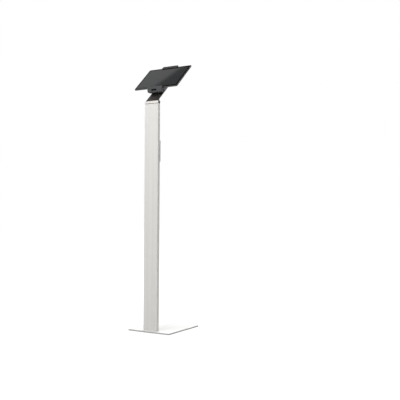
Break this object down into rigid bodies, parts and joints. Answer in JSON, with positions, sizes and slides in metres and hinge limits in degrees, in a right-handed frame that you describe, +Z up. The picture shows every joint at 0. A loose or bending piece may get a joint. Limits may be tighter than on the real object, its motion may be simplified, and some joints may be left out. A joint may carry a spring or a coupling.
{
  "type": "tablet floor stand",
  "caption": "Floor stand that holds a landscape tablet in a lockable turning clamp on a bent neck, with a flat slotted column and a thin base plate.",
  "frame": {"origin": "on the floor under the middle of the base plate", "axes": "+X to the user's right, +Y away from the user, from the column towards the free part of the base, +Z up"},
  "size_m": [0.24, 0.25, 1.247],
  "materials": {
    "plate_white": "satin white powder coat",
    "anodised_silver": "matte natural anodised",
    "neck_satin": "satin brushed",
    "block_black": "matte black anodised",
    "head_grey": "fine-textured dark grey",
    "rubber_black": "matte",
    "steel_plain": "plain zinc",
    "steel_black": "black oxide",
    "acetal_white": "natural",
    "lock_metal": "nickel plated",
    "tablet_metal": "matte anodised",
    "glass_dark": "glossy dark glass"
  },
  "bodies": {
    "stand": {"base_plate": "plate_white", "base_pads": "rubber_black", "base_screws": "steel_plain", "foot_blocks": "anodised_silver", "foot_lock_screw": "steel_black", "column": "anodised_silver", "neck_block": "block_black", "neck_lock_screws": "steel_black", "neck_bracket": "neck_satin", "neck_screws": "steel_plain", "pivot_stud": "steel_plain", "friction_washer": "acetal_white", "spring_washer": "steel_plain", "pivot_nut": "steel_plain"},
    "head": {"rear_shell": "head_grey", "front_plate": "steel_black", "front_plate_screws": "steel_plain", "rest_pad": "rubber_black", "lower_jaw": "head_grey", "lower_jaw_pad": "rubber_black", "lower_jaw_screws": "steel_black", "slide_guides": "acetal_white", "lock_sleeve": "lock_metal", "lock_nut": "steel_plain", "tablet_shell": "tablet_metal", "tablet_glass": "glass_dark"},
    "jaw": {"upper_jaw": "head_grey", "upper_jaw_pad": "rubber_black", "upper_jaw_screws": "steel_black", "slide_frame": "steel_plain"},
    "lock": {"lock_plug": "lock_metal"},
    "pawl": {"lock_pawl": "steel_plain"},
    "cable_box": {"box_carriage": "steel_black", "box_cover": "head_grey", "slot_nuts": "steel_plain", "box_screws": "steel_plain"},
    "power_key": {"tablet_power_key": "tablet_metal"},
    "volume_key": {"tablet_volume_key": "tablet_metal"}
  },
  "joints": [
    {"name": "head_turn", "type": "hinge", "parent": "stand", "child": "head", "pos_m": [0, 0.00043, 1.15848], "axis": [0, -0.682, 0.7314], "continuous": true},
    {"name": "upper_jaw_slide", "type": "slide", "parent": "head", "child": "jaw", "axis": [0, 0.7314, 0.682], "range_m": [0, 0.045]},
    {"name": "lock_turn", "type": "hinge", "parent": "head", "child": "lock", "pos_m": [0.013, -0.0754, 1.10417], "axis": [0, 0.7314, 0.682], "range_deg": [0, 90]},
    {"name": "pawl_slide", "type": "slide", "parent": "head", "child": "pawl", "axis": [1, 0, 0], "range_m": [0, 0.00283]},
    {"name": "cable_box_slide", "type": "slide", "parent": "stand", "child": "cable_box", "axis": [0, 0, 1], "range_m": [-0.74, 0.16]},
    {"name": "power_key_press", "type": "slide", "parent": "head", "child": "power_key", "axis": [0, -0.7314, -0.682], "range_m": [0, 0.0004], "stiffness_N_per_m": 3000},
    {"name": "volume_key_press", "type": "slide", "parent": "head", "child": "volume_key", "axis": [0, -0.7314, -0.682], "range_m": [0, 0.0004], "stiffness_N_per_m": 3000}
  ],
  "couplings": [
    {"joint": "lock_turn", "follows": "pawl_slide", "rad_per_m": 555.36}
  ]
}
